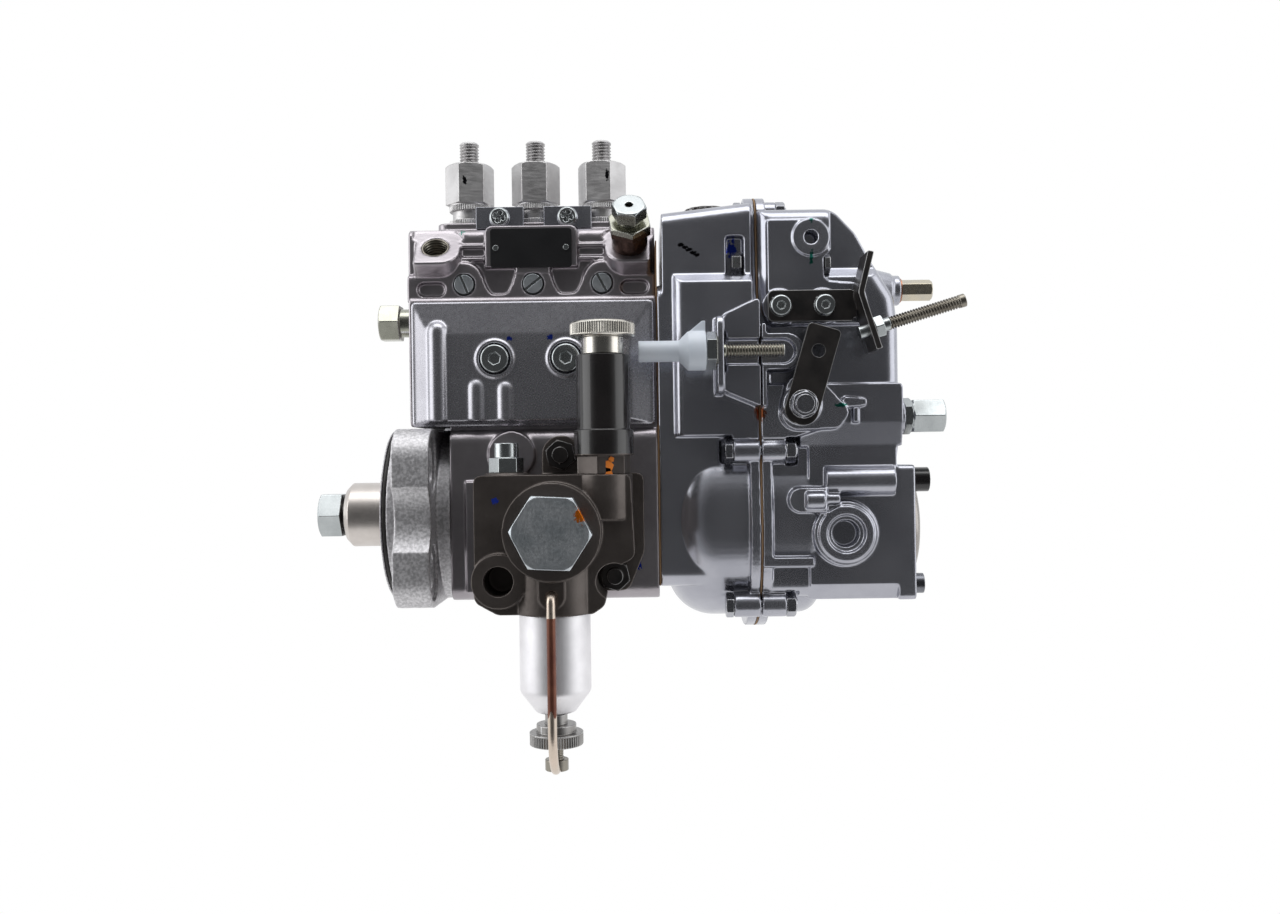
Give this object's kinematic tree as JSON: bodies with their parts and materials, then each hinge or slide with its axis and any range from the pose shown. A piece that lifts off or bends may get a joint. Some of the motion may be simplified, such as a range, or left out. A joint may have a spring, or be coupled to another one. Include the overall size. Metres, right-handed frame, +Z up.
{
  "type": "diesel injection pump",
  "caption": "In-line diesel injection pump with a slotted drive flange, delivery holders on top, a feed pump with hand primer and strainer bowl, and a flyweight governor in a cast case.",
  "frame": {"origin": "camshaft axis at the mounting face of the drive flange", "axes": "+X along the camshaft from the drive end to the governor, +Y away from the feed pump, +Z up along the delivery holders"},
  "size_m": [0.2965, 0.1515, 0.2872],
  "materials": {
    "housing_cast": "glossy die-cast with grey-blue skin",
    "governor_cast": "glossy die-cast with grey-blue skin",
    "cover_cast": "satin die-cast",
    "flange_cast": "light grey sand-cast with machined faces",
    "feed_cast": "brown-black sand-cast",
    "steel": "machined steel",
    "dark_steel": "blackened steel",
    "black_steel": "black phosphated steel",
    "zinc": "bright zinc plate",
    "yellow_zinc": "yellow passivated zinc plate",
    "nickel": "nickel plate",
    "polished_aluminium": "polished aluminium",
    "spring_steel": "oiled spring steel",
    "rubber": "black and cream rubber",
    "paper": "brown gasket paper",
    "white_nylon": "white nylon",
    "black_plate": "black anodised plate"
  },
  "bodies": {
    "pump": {"pump_housing": "housing_cast", "governor_housing": "governor_cast", "governor_cover": "governor_cast", "side_cover": "cover_cast", "drive_flange": "flange_cast", "rubber_seals": "rubber", "gaskets": "paper", "bearing_outer_rings": "steel", "lever_pivot_pin": "steel", "pump_barrels": "steel", "delivery_valves": "steel", "delivery_holders": "zinc", "lock_plates": "zinc", "barrel_screws": "zinc", "name_plate": "black_plate", "overflow_valve": "dark_steel", "housing_plugs": "zinc", "cover_screws": "zinc", "joint_bolts": "zinc", "rear_plate": "cover_cast", "top_lid": "black_steel", "cap_nuts": "zinc", "screw_seal_cap": "white_nylon", "stop_screws": "zinc", "stop_bracket": "black_steel", "feed_pump_body": "feed_cast", "feed_pump_plug": "dark_steel", "feed_pump_fittings": "zinc", "primer_barrel": "black_steel", "strainer_bowl": "polished_aluminium", "strainer": "steel"},
    "camshaft": {"camshaft": "steel", "shaft_nut": "zinc", "shaft_sleeve": "nickel", "bearing_inner_rings": "steel", "flyweight_carrier": "steel"},
    "flyweight_1": {"flyweight_1": "steel"},
    "flyweight_2": {"flyweight_2": "steel"},
    "governor_sleeve": {"governor_sleeve": "steel"},
    "guide_lever": {"guide_lever": "steel"},
    "control_rack": {"control_rack": "steel"},
    "feed_piston": {"feed_piston": "steel"},
    "control_lever": {"control_lever": "dark_steel", "control_shaft": "zinc"},
    "primer_knob": {"primer_knob": "nickel"},
    "bail": {"bail": "yellow_zinc", "clamp_stud": "zinc"},
    "clamp_nut": {"clamp_nut": "zinc"},
    "control_sleeve_1": {"control_sleeve_1": "steel"},
    "tappet_1": {"tappet_1": "steel", "plunger_spring_1": "spring_steel"},
    "plunger_1": {"plunger_1": "steel"},
    "control_sleeve_2": {"control_sleeve_2": "steel"},
    "tappet_2": {"tappet_2": "steel", "plunger_spring_2": "spring_steel"},
    "plunger_2": {"plunger_2": "steel"},
    "control_sleeve_3": {"control_sleeve_3": "steel"},
    "tappet_3": {"tappet_3": "steel", "plunger_spring_3": "spring_steel"},
    "plunger_3": {"plunger_3": "steel"}
  },
  "joints": [
    {"name": "camshaft_spin", "type": "hinge", "parent": "pump", "child": "camshaft", "pos_m": [0.05, 0, 0], "axis": [1, 0, 0], "continuous": true},
    {"name": "governor_sleeve_slide", "type": "slide", "parent": "pump", "child": "governor_sleeve", "axis": [1, 0, 0], "range_m": [-0.00225, 0.00225]},
    {"name": "flyweight_1_swing", "type": "hinge", "parent": "camshaft", "child": "flyweight_1", "pos_m": [0.13, 0, 0.026], "axis": [0, 1, 0], "range_deg": [-8.5, 8.5]},
    {"name": "flyweight_2_swing", "type": "hinge", "parent": "camshaft", "child": "flyweight_2", "pos_m": [0.13, 0, -0.026], "axis": [0, 1, 0], "range_deg": [-8.5, 8.5]},
    {"name": "guide_lever_swing", "type": "hinge", "parent": "pump", "child": "guide_lever", "pos_m": [0.176, 0, -0.028], "axis": [0, 1, 0], "range_deg": [-4.8, 4.8]},
    {"name": "control_rack_slide", "type": "slide", "parent": "pump", "child": "control_rack", "axis": [1, 0, 0], "range_m": [-0.0096, 0.0096]},
    {"name": "control_sleeve_1_turn", "type": "hinge", "parent": "pump", "child": "control_sleeve_1", "pos_m": [0.028, 0, 0.08], "axis": [0, 0, 1], "range_deg": [-50.5, 50.5]},
    {"name": "tappet_1_lift", "type": "slide", "parent": "pump", "child": "tappet_1", "axis": [0, 0, 1], "range_m": [0, 0.008], "deforming": ["plunger_spring_1"]},
    {"name": "plunger_1_turn", "type": "hinge", "parent": "tappet_1", "child": "plunger_1", "pos_m": [0.028, 0, 0.08], "axis": [0, 0, 1], "range_deg": [-50.5, 50.5]},
    {"name": "control_sleeve_2_turn", "type": "hinge", "parent": "pump", "child": "control_sleeve_2", "pos_m": [0.06, 0, 0.08], "axis": [0, 0, 1], "range_deg": [-50.5, 50.5]},
    {"name": "tappet_2_lift", "type": "slide", "parent": "pump", "child": "tappet_2", "axis": [0, 0, 1], "range_m": [0, 0.008], "deforming": ["plunger_spring_2"]},
    {"name": "plunger_2_turn", "type": "hinge", "parent": "tappet_2", "child": "plunger_2", "pos_m": [0.06, 0, 0.08], "axis": [0, 0, 1], "range_deg": [-50.5, 50.5]},
    {"name": "control_sleeve_3_turn", "type": "hinge", "parent": "pump", "child": "control_sleeve_3", "pos_m": [0.092, 0, 0.08], "axis": [0, 0, 1], "range_deg": [-50.5, 50.5]},
    {"name": "tappet_3_lift", "type": "slide", "parent": "pump", "child": "tappet_3", "axis": [0, 0, 1], "range_m": [0, 0.008], "deforming": ["plunger_spring_3"]},
    {"name": "plunger_3_turn", "type": "hinge", "parent": "tappet_3", "child": "plunger_3", "pos_m": [0.092, 0, 0.08], "axis": [0, 0, 1], "range_deg": [-50.5, 50.5]},
    {"name": "feed_piston_stroke", "type": "slide", "parent": "pump", "child": "feed_piston", "axis": [0, 1, 0], "range_m": [-0.006, 0]},
    {"name": "control_lever_swing", "type": "hinge", "parent": "pump", "child": "control_lever", "pos_m": [0.1796, -0.059, 0.0479], "axis": [0, 1, 0], "range_deg": [-15.5, 11.5]},
    {"name": "primer_knob_pull", "type": "slide", "parent": "pump", "child": "primer_knob", "axis": [0, 0, 1], "range_m": [0, 0.022]},
    {"name": "bail_swing", "type": "hinge", "parent": "pump", "child": "bail", "pos_m": [0.0713, -0.066, -0.031], "axis": [0, 1, 0], "range_deg": [-50, 50]},
    {"name": "clamp_nut_travel", "type": "slide", "parent": "bail", "child": "clamp_nut", "axis": [0, 0, 1], "range_m": [-0.0045, 0]}
  ],
  "couplings": [
    {"joint": "flyweight_1_swing", "follows": "governor_sleeve_slide", "rad_per_m": -62.5},
    {"joint": "flyweight_2_swing", "follows": "governor_sleeve_slide", "rad_per_m": 62.5},
    {"joint": "guide_lever_swing", "follows": "governor_sleeve_slide", "rad_per_m": 35.714},
    {"joint": "control_rack_slide", "follows": "governor_sleeve_slide", "ratio": 4.2357},
    {"joint": "control_sleeve_1_turn", "follows": "governor_sleeve_slide", "rad_per_m": 385.06},
    {"joint": "plunger_1_turn", "follows": "governor_sleeve_slide", "rad_per_m": 385.06},
    {"joint": "control_sleeve_2_turn", "follows": "governor_sleeve_slide", "rad_per_m": 385.06},
    {"joint": "plunger_2_turn", "follows": "governor_sleeve_slide", "rad_per_m": 385.06},
    {"joint": "control_sleeve_3_turn", "follows": "governor_sleeve_slide", "rad_per_m": 385.06},
    {"joint": "plunger_3_turn", "follows": "governor_sleeve_slide", "rad_per_m": 385.06}
  ]
}
